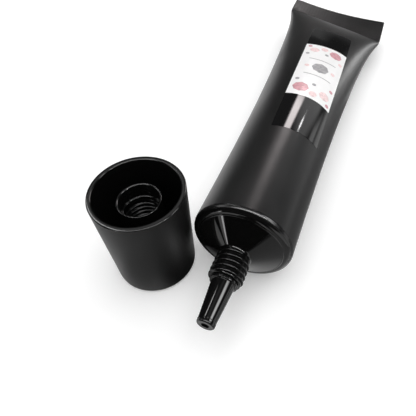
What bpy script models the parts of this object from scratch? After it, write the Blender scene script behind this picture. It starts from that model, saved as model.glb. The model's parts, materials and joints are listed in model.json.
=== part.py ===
# Tube of rhinestone glue lying on a table, with its screw cap taken off and standing mouth up beside it.
# Metres, +Z up. The tube's nozzle points to -Y and its crimped tail to +Y; the cap stands at -X.

import math

import bmesh
import bpy
from mathutils import Matrix, Vector

# Sleeve: a plastic tube of constant girth, round at the shoulder and pressed flat at the tail
TUBE_RADIUS = 0.0095
SLEEVE_LENGTH = 0.098
SLEEVE_WALL = 0.0005
CRIMP_LENGTH = 0.0115
CRIMP_THICKNESS = 0.0011
TAIL_CORNER = 0.0007
FLARE_START_POWER = 2.75
FLARE_END_POWER = 0.54
FLARE_SQUARENESS = 3.3
FLARE_SQUARING = 6.0
SEAL_SQUARENESS = 8.0

# How the tube lies: nose a little up, rolled to its right
REST_TILT = math.radians(1.1)
REST_ROLL = math.radians(9.36)

# Shoulder and threaded neck, measured along the tube's axis from the end of the sleeve
EDGE_INSET = 0.00015
EDGE_ROUND = 0.0006
EDGE_BAND = 0.00025
SEAT_WIDTH = 0.00135
SHOULDER_RISE = 0.00258
SHOULDER_WALL = 0.0012
SKIRT_DEPTH = 0.004
SKIRT_WALL = 0.0008
NECK_RADIUS = 0.00272
NECK_LENGTH = 0.00547
NECK_CHAMFER = 0.0002
NECK_WALL = 0.0009
THREAD_HEIGHT = 0.00045
THREAD_PITCH = 0.00095
THREAD_ROOT_FLAT = 0.00025
THREAD_CREST_FLAT = 0.00025
THREAD_ROOT_DEPTH = 0.0002
NECK_THREAD_START = 0.00095
NECK_THREAD_STOP = 0.00072

# Nozzle: a tapered tip with a flange, pushed into the neck
FLANGE_OVERHANG = 0.00026
FLANGE_THICKNESS = 0.0003
NOZZLE_BASE_RADIUS = 0.00213
NOZZLE_TIP_RADIUS = 0.00155
NOZZLE_LENGTH = 0.0079
NOZZLE_TIP_CHAMFER = 0.0002
PLUG_LENGTH = 0.0045
PLUG_WALL = 0.00062
ORIFICE_RADIUS = 0.00065
ORIFICE_LENGTH = 0.0012

# Label on the upper side of the sleeve, in distance along the tube and round its girth
LABEL_START = 0.02335
LABEL_LENGTH = 0.0471
LABEL_WIDTH = 0.0112
LABEL_OFFSET = 0.0017
LABEL_THICKNESS = 0.0002

# Cap: a tapered outer shell with a threaded core and a seal pad for the nozzle's tip
RIM_INSET = 0.0008
CAP_TAPER = 0.00065
CAP_WALL = 0.00095
CAP_CROWN = 0.0012
CAP_BASE_ROUND = 0.0008
CAP_RIM_ROUND = 0.0002
CORE_FLOOR = 0.001
COLLAR_WALL = 0.00068
COLLAR_CLEARANCE = 0.00036
COUNTERBORE_STEP = 0.00025
COUNTERBORE_DEPTH = 0.003
CAP_THREAD_CLEARANCE = 0.00023
CAP_THREAD_LENGTH = 0.0057
PAD_THICKNESS = 0.0012
TIP_CLEARANCE = 0.0003

# Where the cap stands beside the tube
CAP_TUCK = 0.00048
CAP_FORWARD = 0.00356

# Gap kept between touching pieces, and the fineness of round shapes
GAP = 0.0003
MERGE = 0.00001
TURN_STEPS = 40
ROUND_STEPS = 4
RIM_STEPS = 2
SHARP_ANGLE = math.radians(40)
GIRTH_STEPS = 48
SAMPLE_STEPS = 360
HALVINGS = 40
FLARE_STATIONS = 16
STATION_CROWDING = 1.7
THREAD_STEPS = 20
LABEL_STEPS_LONG = 14
LABEL_STEPS_ROUND = 8

# Dependent sizes of the head, along the axis from the end of the sleeve towards the nozzle
EDGE_RADIUS = TUBE_RADIUS - EDGE_INSET
SEAT_HEIGHT = GAP + EDGE_BAND + EDGE_ROUND
SEAT_RADIUS = TUBE_RADIUS - SEAT_WIDTH
SKIRT_RADIUS = TUBE_RADIUS - SLEEVE_WALL - GAP
NECK_BASE = SEAT_HEIGHT + SHOULDER_RISE
NECK_END = NECK_BASE + NECK_LENGTH
BORE_RADIUS = NECK_RADIUS - NECK_WALL
THREAD_RADIUS = NECK_RADIUS + THREAD_HEIGHT
THREAD_BASE = THREAD_PITCH - THREAD_ROOT_FLAT
NECK_THREAD_LENGTH = NECK_LENGTH - NECK_THREAD_START - NECK_THREAD_STOP
FLANGE_START = NECK_END + GAP
NOZZLE_BASE = FLANGE_START + FLANGE_THICKNESS
NOZZLE_TIP = NOZZLE_BASE + NOZZLE_LENGTH
FLANGE_RADIUS = NOZZLE_BASE_RADIUS + FLANGE_OVERHANG
PLUG_RADIUS = BORE_RADIUS - GAP
CHANNEL_RADIUS = PLUG_RADIUS - PLUG_WALL

# Dependent sizes of the cap, from its crown up to its rim
RIM_RADIUS = TUBE_RADIUS - RIM_INSET
CAP_BASE_RADIUS = RIM_RADIUS - CAP_TAPER
CORE_BOTTOM = CAP_CROWN + GAP
CORE_TOP = CORE_BOTTOM + CORE_FLOOR
PAD_BOTTOM = CORE_TOP + GAP
PAD_TOP = PAD_BOTTOM + PAD_THICKNESS
CAP_HEIGHT = PAD_TOP + TIP_CLEARANCE + NOZZLE_TIP - SEAT_HEIGHT
CAP_BORE_RADIUS = THREAD_RADIUS + CAP_THREAD_CLEARANCE
COLLAR_RADIUS = CAP_BORE_RADIUS + COLLAR_WALL
COUNTERBORE_RADIUS = CAP_BORE_RADIUS + COUNTERBORE_STEP
CONE_AT_COLLAR = SHOULDER_RISE * (SEAT_RADIUS - COLLAR_RADIUS) / (SEAT_RADIUS - NECK_RADIUS)
COLLAR_TOP = CAP_HEIGHT - CONE_AT_COLLAR - COLLAR_CLEARANCE
COUNTERBORE_BOTTOM = COLLAR_TOP - COUNTERBORE_DEPTH
PAD_RADIUS = CAP_BORE_RADIUS - GAP
CAP_X = -(TUBE_RADIUS + RIM_RADIUS - CAP_TUCK)
CAP_Y = -CAP_FORWARD

# The sleeve closes here, and its flat seal runs on to the tail
CLOSING_STATION = SLEEVE_LENGTH - CRIMP_LENGTH
SEAL_HALF = CRIMP_THICKNESS / 2

# The tube's own axes: X to its right, Y up through its flattened face, Z along the axis to the nozzle
TUBE_TURN = Matrix.Rotation(math.pi / 2 - REST_TILT, 3, "X") @ Matrix.Rotation(-REST_ROLL, 3, "Z")


def clear_scene():
    for obj in list(bpy.data.objects):
        bpy.data.objects.remove(obj, do_unlink=True)


def new_collection(name):
    collection = bpy.data.collections.new(name)
    bpy.context.scene.collection.children.link(collection)
    return collection


def new_material(name, colour, roughness):
    material = bpy.data.materials.new(name)
    material.use_nodes = True
    shader = material.node_tree.nodes["Principled BSDF"]
    shader.inputs["Base Color"].default_value = (*colour, 1.0)
    shader.inputs["Roughness"].default_value = roughness
    shader.inputs["Metallic"].default_value = 0.0
    return material


def place(name, mesh, collection, parent, material=None):
    obj = bpy.data.objects.new(name, mesh)
    collection.objects.link(obj)
    obj.parent = parent
    if material:
        mesh.materials.append(material)
    return obj


def smooth_mesh(bm, name):
    mesh = bpy.data.meshes.new(name)
    bm.to_mesh(mesh)
    bm.free()
    mesh.shade_smooth()
    return mesh


def closed_mesh(bm, name):
    bmesh.ops.recalc_face_normals(bm, faces=bm.faces)
    return smooth_mesh(bm, name)


def arc(centre, radius, start, end, steps):
    """Points of a round stretch of a profile, from one angle in degrees to another."""
    points = []
    for i in range(steps + 1):
        angle = math.radians(start + (end - start) * i / steps)
        points.append((centre[0] + radius * math.cos(angle), centre[1] + radius * math.sin(angle)))
    return points


def turned(name, profile, closed, collection, parent, material):
    """A body of revolution about local Z from (radius, height) points, outer side from top to bottom."""
    mesh = bpy.data.meshes.new(name)
    count = len(profile)
    edges = [(i, i + 1) for i in range(count - 1)]
    if closed:
        edges.append((count - 1, 0))
    mesh.from_pydata([(radius, 0.0, height) for radius, height in profile], edges, [])
    obj = place(name, mesh, collection, parent, material)
    screw = obj.modifiers.new("turn", "SCREW")
    screw.axis = "Z"
    screw.angle = 2 * math.pi
    screw.steps = TURN_STEPS
    screw.render_steps = TURN_STEPS
    screw.use_merge_vertices = True
    screw.merge_threshold = MERGE
    screw.use_smooth_shade = True
    return obj


def thread_ridge(name, root, crest, start, length, collection, parent):
    """A helical ridge with a flat crest, swept about local Z; a crest below the root points inwards."""
    turns = length / THREAD_PITCH
    steps = round(THREAD_STEPS * turns)
    bm = bmesh.new()
    section = [
        (root, -THREAD_BASE / 2),
        (root, THREAD_BASE / 2),
        (crest, THREAD_CREST_FLAT / 2),
        (crest, -THREAD_CREST_FLAT / 2),
    ]
    corners = [bm.verts.new((radius, 0.0, start + height)) for radius, height in section]
    bm.faces.new(corners)
    bmesh.ops.spin(
        bm,
        geom=bm.verts[:] + bm.edges[:] + bm.faces[:],
        cent=(0.0, 0.0, 0.0),
        axis=(0.0, 0.0, 1.0),
        dvec=(0.0, 0.0, length / steps),
        angle=2 * math.pi * turns,
        steps=steps,
        use_duplicate=False,
    )
    obj = place(name, closed_mesh(bm, name), collection, parent)
    obj.hide_render = True
    obj.display_type = "WIRE"
    return obj


def join_thread(obj, ridge):
    union = obj.modifiers.new("thread", "BOOLEAN")
    union.operation = "UNION"
    union.solver = "EXACT"
    union.object = ridge


def half_height(station):
    """Half of the sleeve's height at a distance from the shoulder, falling from round to the flat seal."""
    share = min(max(station / CLOSING_STATION, 0.0), 1.0)
    swell = (1.0 - share ** FLARE_START_POWER) ** FLARE_END_POWER
    return SEAL_HALF + (TUBE_RADIUS - SEAL_HALF) * swell


def station_of(height):
    """The distance from the shoulder where the sleeve has this half height."""
    swell = (height - SEAL_HALF) / (TUBE_RADIUS - SEAL_HALF)
    return CLOSING_STATION * (1.0 - swell ** (1.0 / FLARE_END_POWER)) ** (1.0 / FLARE_START_POWER)


def squarish_oval(half_width, half_depth, power):
    """A closed oval from its right side, round at power 2 and squarer above it."""
    points = []
    for i in range(SAMPLE_STEPS + 1):
        angle = 2 * math.pi * i / SAMPLE_STEPS
        x = math.copysign(abs(math.cos(angle)) ** (2 / power), math.cos(angle))
        y = math.copysign(abs(math.sin(angle)) ** (2 / power), math.sin(angle))
        points.append(Vector((half_width * x, half_depth * y)))
    return points


def girth_of(points):
    return sum((points[i + 1] - points[i]).length for i in range(len(points) - 1))


def oval_of_girth(half_depth, girth, power):
    """The oval of this height whose girth is that of the round tube: a sleeve bends but doesn't stretch."""
    low = 0.0
    high = girth / 2
    for _ in range(HALVINGS):
        middle = (low + high) / 2
        if girth_of(squarish_oval(middle, half_depth, power)) > girth:
            high = middle
        else:
            low = middle
    return squarish_oval(low, half_depth, power)


def along(points, distance):
    """The point at a distance round the oval, counted from its right side over its top."""
    left = distance % girth_of(points)
    for i in range(len(points) - 1):
        step = (points[i + 1] - points[i]).length
        if left <= step:
            return points[i].lerp(points[i + 1], left / step)
        left -= step
    return points[-1]


def flare_power(station):
    """How square the section is at a distance from the shoulder: round at first, squarer as it nears the seal."""
    share = min(max(station / CLOSING_STATION, 0.0), 1.0)
    return 2.0 + (FLARE_SQUARENESS - 2.0) * share ** FLARE_SQUARING


def ring(station, inset, power=None, trim=0.0):
    """Points spread evenly round the sleeve's section, moved in by inset, with trim off its half width."""
    girth = 2 * math.pi * (TUBE_RADIUS - inset)
    if power is None:
        power = flare_power(station)
    oval = oval_of_girth(half_height(station) - inset, girth, power)
    spots = [along(oval, girth * i / GIRTH_STEPS) for i in range(GIRTH_STEPS)]
    narrowing = 1.0 - trim / oval[0].x
    return [Vector((spot.x * narrowing, spot.y, -station)) for spot in spots]


def flare_stations(first, last, count):
    """Stations that crowd towards the closing end, where the section changes fastest."""
    stations = []
    for i in range(count + 1):
        share = 1.0 - (1.0 - i / count) ** STATION_CROWDING
        stations.append(first + (last - first) * share)
    return stations


def outer_rings():
    rings = [ring(station, 0.0) for station in flare_stations(0.0, CLOSING_STATION, FLARE_STATIONS)]
    rings.append(ring(CLOSING_STATION + TAIL_CORNER, 0.0, SEAL_SQUARENESS))
    rings.append(ring(SLEEVE_LENGTH - TAIL_CORNER, 0.0, SEAL_SQUARENESS))
    rings.append(ring(SLEEVE_LENGTH, 0.0, SEAL_SQUARENESS, TAIL_CORNER))
    return rings


def add_loft(bm, rings):
    """Faces between neighbouring rings; returns the loops of vertices."""
    loops = [[bm.verts.new(point) for point in points] for points in rings]
    for near, far in zip(loops, loops[1:]):
        for i in range(GIRTH_STEPS):
            j = (i + 1) % GIRTH_STEPS
            bm.faces.new((near[i], near[j], far[j], far[i]))
    return loops


def make_sleeve(collection, parent, material):
    bm = bmesh.new()
    outer = add_loft(bm, outer_rings())
    inner_end = station_of(SEAL_HALF + SLEEVE_WALL)
    inner = add_loft(bm, [ring(s, SLEEVE_WALL) for s in flare_stations(0.0, inner_end, FLARE_STATIONS)])
    bm.faces.new(outer[-1])
    bm.faces.new(inner[-1])
    for i in range(GIRTH_STEPS):
        j = (i + 1) % GIRTH_STEPS
        bm.faces.new((outer[0][i], outer[0][j], inner[0][j], inner[0][i]))
    mesh = closed_mesh(bm, "tube_sleeve")
    mesh.set_sharp_from_angle(angle=SHARP_ANGLE)
    return place("tube_sleeve", mesh, collection, parent, material)


def make_glue(collection, parent, material):
    inset = SLEEVE_WALL + GAP
    first = SKIRT_DEPTH + GAP
    last = station_of(SEAL_HALF + 2 * inset)
    bm = bmesh.new()
    loops = add_loft(bm, [ring(s, inset) for s in flare_stations(first, last, FLARE_STATIONS // 2)])
    bm.faces.new(loops[0])
    bm.faces.new(loops[-1])
    return place("glue_fill", closed_mesh(bm, "glue_fill"), collection, parent, material)


def make_label(collection, parent, material):
    """A thin sheet that follows the sleeve, one gap clear of it, with its thickness outwards."""
    lift = -GAP
    girth = 2 * math.pi * (TUBE_RADIUS - lift)
    bm = bmesh.new()
    rows = []
    for i in range(LABEL_STEPS_LONG + 1):
        station = LABEL_START + LABEL_LENGTH * i / LABEL_STEPS_LONG
        oval = oval_of_girth(half_height(station) - lift, girth, flare_power(station))
        row = []
        for j in range(LABEL_STEPS_ROUND + 1):
            across = LABEL_OFFSET + LABEL_WIDTH * (j / LABEL_STEPS_ROUND - 0.5)
            spot = along(oval, girth / 4 - across)
            row.append(bm.verts.new((spot.x, spot.y, -station)))
        rows.append(row)
    for near, far in zip(rows, rows[1:]):
        for j in range(LABEL_STEPS_ROUND):
            bm.faces.new((near[j], near[j + 1], far[j + 1], far[j]))
    obj = place("front_label", smooth_mesh(bm, "front_label"), collection, parent, material)
    sheet = obj.modifiers.new("sheet", "SOLIDIFY")
    sheet.thickness = LABEL_THICKNESS
    sheet.offset = 1.0
    return obj


def make_head(collection, cutters, parent, material):
    """Skirt inside the sleeve, rounded edge, flat seat for the cap's rim, cone and threaded neck."""
    edge_centre = (EDGE_RADIUS - EDGE_ROUND, SEAT_HEIGHT - EDGE_ROUND)
    skirt_inner = SKIRT_RADIUS - SKIRT_WALL
    cone_slope = SHOULDER_RISE / (SEAT_RADIUS - NECK_RADIUS)
    inner_edge = SEAT_HEIGHT + cone_slope * (SEAT_RADIUS - skirt_inner) - SHOULDER_WALL
    inner_neck = SEAT_HEIGHT + cone_slope * (SEAT_RADIUS - BORE_RADIUS) - SHOULDER_WALL
    profile = [
        (BORE_RADIUS, NECK_END),
        (NECK_RADIUS - NECK_CHAMFER, NECK_END),
        (NECK_RADIUS, NECK_END - NECK_CHAMFER),
        (NECK_RADIUS, NECK_BASE),
        (SEAT_RADIUS, SEAT_HEIGHT),
        *arc(edge_centre, EDGE_ROUND, 90, 0, ROUND_STEPS),
        (EDGE_RADIUS, GAP),
        (SKIRT_RADIUS, GAP),
        (SKIRT_RADIUS, -SKIRT_DEPTH),
        (skirt_inner, -SKIRT_DEPTH),
        (skirt_inner, inner_edge),
        (BORE_RADIUS, inner_neck),
    ]
    obj = turned("shoulder_neck", profile, True, collection, parent, material)
    ridge = thread_ridge(
        "neck_thread",
        NECK_RADIUS - THREAD_ROOT_DEPTH,
        THREAD_RADIUS,
        NECK_BASE + NECK_THREAD_START,
        NECK_THREAD_LENGTH,
        cutters,
        parent,
    )
    join_thread(obj, ridge)
    return obj


def make_nozzle(collection, parent, material):
    plug_end = FLANGE_START - PLUG_LENGTH
    profile = [
        (ORIFICE_RADIUS, NOZZLE_TIP),
        (NOZZLE_TIP_RADIUS - NOZZLE_TIP_CHAMFER, NOZZLE_TIP),
        (NOZZLE_TIP_RADIUS, NOZZLE_TIP - NOZZLE_TIP_CHAMFER),
        (NOZZLE_BASE_RADIUS, NOZZLE_BASE),
        (FLANGE_RADIUS, NOZZLE_BASE),
        (FLANGE_RADIUS, FLANGE_START),
        (PLUG_RADIUS, FLANGE_START),
        (PLUG_RADIUS, plug_end),
        (CHANNEL_RADIUS, plug_end),
        (CHANNEL_RADIUS, NOZZLE_TIP - 2 * ORIFICE_LENGTH),
        (ORIFICE_RADIUS, NOZZLE_TIP - ORIFICE_LENGTH),
    ]
    return turned("nozzle", profile, True, collection, parent, material)


def shell_radius(height):
    """Outer radius of the tapered cap at a height above its crown."""
    return CAP_BASE_RADIUS + CAP_TAPER * height / CAP_HEIGHT


def make_cap_shell(collection, parent, material):
    """A cup whose rim is chamfered inside, so that it lands on the shoulder's flat seat when closed."""
    chamfer = SEAT_RADIUS - RIM_RADIUS + CAP_WALL
    base_centre = (shell_radius(CAP_BASE_ROUND) - CAP_BASE_ROUND, CAP_BASE_ROUND)
    profile = [
        (0.0, CAP_CROWN),
        (shell_radius(CAP_CROWN) - CAP_WALL, CAP_CROWN),
        (shell_radius(CAP_HEIGHT - chamfer) - CAP_WALL, CAP_HEIGHT - chamfer),
        (SEAT_RADIUS, CAP_HEIGHT),
        *arc((RIM_RADIUS - CAP_RIM_ROUND, CAP_HEIGHT - CAP_RIM_ROUND), CAP_RIM_ROUND, 90, 0, RIM_STEPS),
        *arc(base_centre, CAP_BASE_ROUND, 0, -90, ROUND_STEPS),
        (0.0, 0.0),
    ]
    return turned("cap_shell", profile, False, collection, parent, material)


def make_cap_core(collection, cutters, parent, material):
    """A disc pressed into the crown with a collar that screws onto the neck."""
    disc_radius = shell_radius(CORE_BOTTOM) - CAP_WALL - GAP
    profile = [
        (0.0, CORE_TOP),
        (CAP_BORE_RADIUS, CORE_TOP),
        (CAP_BORE_RADIUS, COUNTERBORE_BOTTOM),
        (COUNTERBORE_RADIUS, COUNTERBORE_BOTTOM),
        (COUNTERBORE_RADIUS, COLLAR_TOP),
        (COLLAR_RADIUS, COLLAR_TOP),
        (COLLAR_RADIUS, CORE_TOP),
        (disc_radius, CORE_TOP),
        (disc_radius, CORE_BOTTOM),
        (0.0, CORE_BOTTOM),
    ]
    obj = turned("cap_core", profile, False, collection, parent, material)
    ridge = thread_ridge(
        "cap_thread",
        CAP_BORE_RADIUS + THREAD_ROOT_DEPTH,
        CAP_BORE_RADIUS - THREAD_HEIGHT,
        COUNTERBORE_BOTTOM - THREAD_BASE - CAP_THREAD_LENGTH,
        CAP_THREAD_LENGTH,
        cutters,
        parent,
    )
    join_thread(obj, ridge)
    return obj


def make_seal_pad(collection, parent, material):
    profile = [(0.0, PAD_TOP), (PAD_RADIUS, PAD_TOP), (PAD_RADIUS, PAD_BOTTOM), (0.0, PAD_BOTTOM)]
    return turned("seal_pad", profile, False, collection, parent, material)


def resting_places():
    """Where the shoulder's centre and the cap's axis lie, so the tube rests at z 0 with the box centred."""
    lying = [TUBE_TURN @ point for points in outer_rings() for point in points]
    tip = TUBE_TURN @ Vector((0.0, 0.0, NOZZLE_TIP))
    tip_front = tip.y - (NOZZLE_TIP_RADIUS - NOZZLE_TIP_CHAMFER) * math.sin(REST_TILT)
    left = CAP_X - RIM_RADIUS
    right = max(point.x for point in lying)
    back = max(point.y for point in lying)
    lift = -min(point.z for point in lying)
    shoulder = Vector((-(left + right) / 2, -(tip_front + back) / 2, lift))
    cap = Vector((shoulder.x + CAP_X, shoulder.y + CAP_Y, 0.0))
    return shoulder, cap


def new_empty(name, location, collection):
    empty = bpy.data.objects.new(name, None)
    empty.empty_display_size = TUBE_RADIUS
    empty.location = location
    collection.objects.link(empty)
    return empty


def main():
    clear_scene()
    parts = new_collection("rhinestone_glue_tube")
    cutters = new_collection("thread_ridges")
    matte_black = new_material("matte_black", (0.02, 0.02, 0.021), 0.5)
    gloss_black = new_material("gloss_black", (0.008, 0.008, 0.008), 0.12)
    cap_black = new_material("cap_matte_black", (0.022, 0.022, 0.023), 0.55)
    core_black = new_material("cap_gloss_black", (0.006, 0.006, 0.006), 0.15)
    nozzle_black = new_material("nozzle_gloss_black", (0.008, 0.008, 0.009), 0.1)
    label_print = new_material("label_print", (0.05, 0.04, 0.042), 0.2)
    glue = new_material("clear_adhesive", (0.75, 0.72, 0.65), 0.2)
    pad = new_material("seal_foam", (0.6, 0.6, 0.58), 0.8)

    shoulder, cap_foot = resting_places()
    tube_axis = new_empty("tube_axis", shoulder, parts)
    tube_axis.rotation_mode = "ZYX"
    tube_axis.rotation_euler = (math.pi / 2 - REST_TILT, 0.0, -REST_ROLL)
    cap_axis = new_empty("cap_axis", cap_foot, parts)

    make_sleeve(parts, tube_axis, matte_black)
    make_head(parts, cutters, tube_axis, gloss_black)
    make_nozzle(parts, tube_axis, nozzle_black)
    make_label(parts, tube_axis, label_print)
    make_glue(parts, tube_axis, glue)
    make_cap_shell(parts, cap_axis, cap_black)
    make_cap_core(parts, cutters, cap_axis, core_black)
    make_seal_pad(parts, cap_axis, pad)


main()
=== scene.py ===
# %% [markdown]
# A squeeze tube of craft glue lies on a white table, and its screw cap stands mouth up beside it.
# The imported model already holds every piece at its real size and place. This lesson dresses it: each piece is
# modelled again with the fine shapes that a camera sees, and gets a finish made of shader nodes.
# Pieces are drawn in millimetres and end up in metres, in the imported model's own frame, with the table at z = 0.

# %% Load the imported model
import json
import math

import bmesh
import bpy
import numpy as np
from mathutils import Matrix, Vector


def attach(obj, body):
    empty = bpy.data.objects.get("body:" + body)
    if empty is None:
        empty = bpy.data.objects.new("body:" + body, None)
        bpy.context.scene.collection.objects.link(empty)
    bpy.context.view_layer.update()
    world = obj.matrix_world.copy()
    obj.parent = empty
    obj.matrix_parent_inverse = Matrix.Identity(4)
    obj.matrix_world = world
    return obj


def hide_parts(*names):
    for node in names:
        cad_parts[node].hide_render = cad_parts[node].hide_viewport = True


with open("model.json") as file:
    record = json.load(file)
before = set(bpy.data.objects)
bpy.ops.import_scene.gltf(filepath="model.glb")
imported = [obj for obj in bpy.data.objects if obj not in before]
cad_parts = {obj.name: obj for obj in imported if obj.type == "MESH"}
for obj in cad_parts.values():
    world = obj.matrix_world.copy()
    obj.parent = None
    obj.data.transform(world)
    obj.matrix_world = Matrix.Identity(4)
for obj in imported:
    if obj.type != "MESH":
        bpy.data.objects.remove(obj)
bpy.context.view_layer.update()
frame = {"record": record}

# %% [markdown]
# The tube lies a little nose up and rolled to its right, so it is easiest to model in its own axes: X to its right,
# Y up through its flattened face, Z along the axis to the nozzle, zero at the end of the sleeve. The record says
# where the flat seal at the tail is and which way it faces. Tilt, roll and the shoulder's place follow from that.

# %% The tube's and the cap's own axes
MM = 0.001
SLEEVE_LENGTH = 98.0
CRIMP_LENGTH = 11.5
CRIMP_THICKNESS = 1.1

mounts = {mount["name"]: mount for mount in frame["record"]["mounts"]}
seal_face = Vector(mounts["tail_crimp"]["axis"])
rest_roll = math.asin(seal_face.x)
rest_tilt = math.atan2(seal_face.y, seal_face.z)
tube_turn = Matrix.Rotation(math.pi / 2 - rest_tilt, 3, "X") @ Matrix.Rotation(-rest_roll, 3, "Z")
seal_middle = Vector((0.0, CRIMP_THICKNESS / 2, CRIMP_LENGTH / 2 - SLEEVE_LENGTH)) * MM
shoulder = Vector(mounts["tail_crimp"]["pos_m"]) - tube_turn @ seal_middle

TUBE = Matrix.Translation(shoulder) @ tube_turn.to_4x4() @ Matrix.Scale(MM, 4)
CAP = Matrix.Translation(Vector(mounts["cap_crown"]["pos_m"])) @ Matrix.Scale(MM, 4)
print("shoulder in mm:", [round(1000 * x, 2) for x in shoulder], "tilt", round(math.degrees(rest_tilt), 2))

# %% [markdown]
# Five of the pieces are round: the head, the nozzle, the cap's cup and its collar, and the seal disc. Each is a
# profile of radius and height, in millimetres, spun about its axis. A moulding has no knife-sharp corner: its small
# roundings are what catches the light, so every corner of a profile carries its own rounding, made by a bevel of
# that vertex before the spin.

# %% A lathe for round pieces
TURN_STEPS = 160
ROUND_SEGMENTS = 5
WELD = 1e-5


def lathe(profile, closed, fine_radius=None, fine_cuts=0):
    """Spins (radius, height, rounding) points about Z; a straight stretch at fine_radius gets extra rows."""
    bm = bmesh.new()
    corners = [bm.verts.new((radius, 0.0, height)) for radius, height, _ in profile]
    ends = corners[1:] + corners[:1] if closed else corners[1:]
    for near, far in zip(corners, ends):
        bm.edges.new((near, far))
    for corner, (_, _, rounding) in zip(corners, profile):
        if rounding:
            bmesh.ops.bevel(bm, geom=[corner], offset=rounding, offset_type="OFFSET", affect="VERTICES",
                            segments=ROUND_SEGMENTS, profile=0.5, material=-1)
    if fine_radius:
        rows = [edge for edge in bm.edges if all(abs(v.co.x - fine_radius) < WELD for v in edge.verts)]
        longest = max(rows, key=lambda edge: edge.calc_length())
        bmesh.ops.subdivide_edges(bm, edges=[longest], cuts=fine_cuts)
    bmesh.ops.spin(bm, geom=bm.verts[:] + bm.edges[:], cent=(0, 0, 0), axis=(0, 0, 1), angle=2 * math.pi,
                   steps=TURN_STEPS, use_merge=True, use_duplicate=False)
    bmesh.ops.remove_doubles(bm, verts=bm.verts, dist=WELD)
    bmesh.ops.recalc_face_normals(bm, faces=bm.faces)
    return bm


# %% [markdown]
# Every finished mesh goes through one door: it is moved to its place, shaded smooth up to a sharp angle, given its
# materials, and told which body of the imported model it rides on, and the plain solid that it stands for is hidden.

# %% A door for finished pieces
SHARP = math.radians(38)


def add_object(name, bm, materials):
    """Turns a bmesh into an object of the scene, with its materials."""
    mesh = bpy.data.meshes.new(name)
    bm.to_mesh(mesh)
    bm.free()
    for material in materials:
        mesh.materials.append(material)
    obj = bpy.data.objects.new(name, mesh)
    bpy.context.scene.collection.objects.link(obj)
    return obj


def hand_over(name, bm, place, materials, body, node=None):
    bm.transform(place)
    obj = add_object(name, bm, materials)
    obj.data.shade_smooth()
    obj.data.set_sharp_from_angle(angle=SHARP)
    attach(obj, body)
    if node:
        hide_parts(node)
    print(name, "faces:", len(obj.data.polygons))
    return obj


# %% [markdown]
# Finishes are node trees on the Principled shader. Small helpers keep them readable: they start a finish, add a node
# with its values, wire an output to an input, and let a pattern move a value, a colour or the relief. Patterns read
# Object coordinates, which are metres here, so a noise of scale 4000 has features of about a quarter of a
# millimetre. Most of a noise lies in the middle of its range, so that middle is what moves a value.

# %% Helpers for node trees
MIDDLE_LOW, MIDDLE_HIGH = 0.3, 0.7


def new_finish(name):
    material = bpy.data.materials.new(name)
    material.use_nodes = True
    return material, material.node_tree.nodes["Principled BSDF"]


def add_node(owner, kind, values=None):
    """A new node of a material or of the world, with these values on its inputs."""
    made = owner.node_tree.nodes.new(kind)
    for socket, value in (values or {}).items():
        made.inputs[socket].default_value = value
    return made


def wire(owner, output, target):
    owner.node_tree.links.new(output, target)


def noise(material, scale, detail):
    """A noise over the piece's own metres; returns its value output."""
    place = add_node(material, "ShaderNodeTexCoord")
    texture = add_node(material, "ShaderNodeTexNoise", {"Scale": scale, "Detail": detail})
    wire(material, place.outputs["Object"], texture.inputs["Vector"])
    return texture.outputs["Fac"]


def vary(material, source, target, low, high):
    """Lets a pattern move a value between low and high."""
    span = add_node(material, "ShaderNodeMapRange", {"From Min": MIDDLE_LOW, "From Max": MIDDLE_HIGH,
                                                     "To Min": low, "To Max": high})
    wire(material, source, span.inputs["Value"])
    wire(material, span.outputs["Result"], target)


def shade(material, source, target, dark, light):
    """Lets a pattern move a colour between two tones."""
    tone = add_node(material, "ShaderNodeMix")
    tone.data_type = "RGBA"
    tone.inputs["A"].default_value = (*dark, 1.0)
    tone.inputs["B"].default_value = (*light, 1.0)
    wire(material, source, tone.inputs["Factor"])
    wire(material, tone.outputs["Result"], target)


def roughen(material, shader, source, strength, depth):
    """Lets a pattern tilt the surface as a relief of this depth in metres."""
    bump = add_node(material, "ShaderNodeBump", {"Strength": strength, "Distance": depth})
    wire(material, source, bump.inputs["Height"])
    wire(material, bump.outputs["Normal"], shader.inputs["Normal"])


# %% [markdown]
# The sleeve and the outside of the cap are soft-touch black: a dark grey plastic whose mould was etched, so it
# spreads a highlight wide. A roughness from a third to a half gives the spread, a fine grain gives the etching, and
# a slow noise lets the sheen wander a little, as handled plastic does. The edge that was rolled over the head is
# smoother: the press ironed it there.

# %% Soft-touch black
SOFT_DARK = (0.005, 0.005, 0.0052)
SOFT_LIGHT = (0.008, 0.0079, 0.008)
CLOUD_SCALE = 90
GRAIN_SCALE = 5200
GRAIN_STRENGTH = 0.35
GRAIN_DEPTH = 0.00002


def soft_touch(name, low, high, sheen):
    """A finish whose roughness wanders between low and high."""
    material, shader = new_finish(name)
    shader.inputs["Specular IOR Level"].default_value = sheen
    clouds = noise(material, CLOUD_SCALE, detail=3)
    shade(material, clouds, shader.inputs["Base Color"], SOFT_DARK, SOFT_LIGHT)
    vary(material, clouds, shader.inputs["Roughness"], low, high)
    roughen(material, shader, noise(material, GRAIN_SCALE, detail=2), GRAIN_STRENGTH, GRAIN_DEPTH)
    return material


sleeve_black = soft_touch("sleeve_soft_black", low=0.32, high=0.39, sheen=0.32)
cap_black = soft_touch("cap_soft_black", low=0.4, high=0.48, sheen=0.19)
edge_black = soft_touch("edge_soft_black", low=0.21, high=0.27, sheen=0.4)
print("soft-touch finishes:", sleeve_black.name, cap_black.name, edge_black.name)

# %% [markdown]
# The shoulder, the neck, the nozzle and the inside of the cap came out of polished moulds. They are nearly black
# and mirror the studio. A polished moulding is never flat, so a long, faint ripple bends its reflections.

# %% Polished black
DEEP_BLACK = (0.003, 0.003, 0.003)
POLISHED_SHEEN = 0.4
HAZE_SCALE = 1300
RIPPLE_SCALE = 420
RIPPLE_STRENGTH = 0.12
RIPPLE_DEPTH = 0.00002


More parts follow.
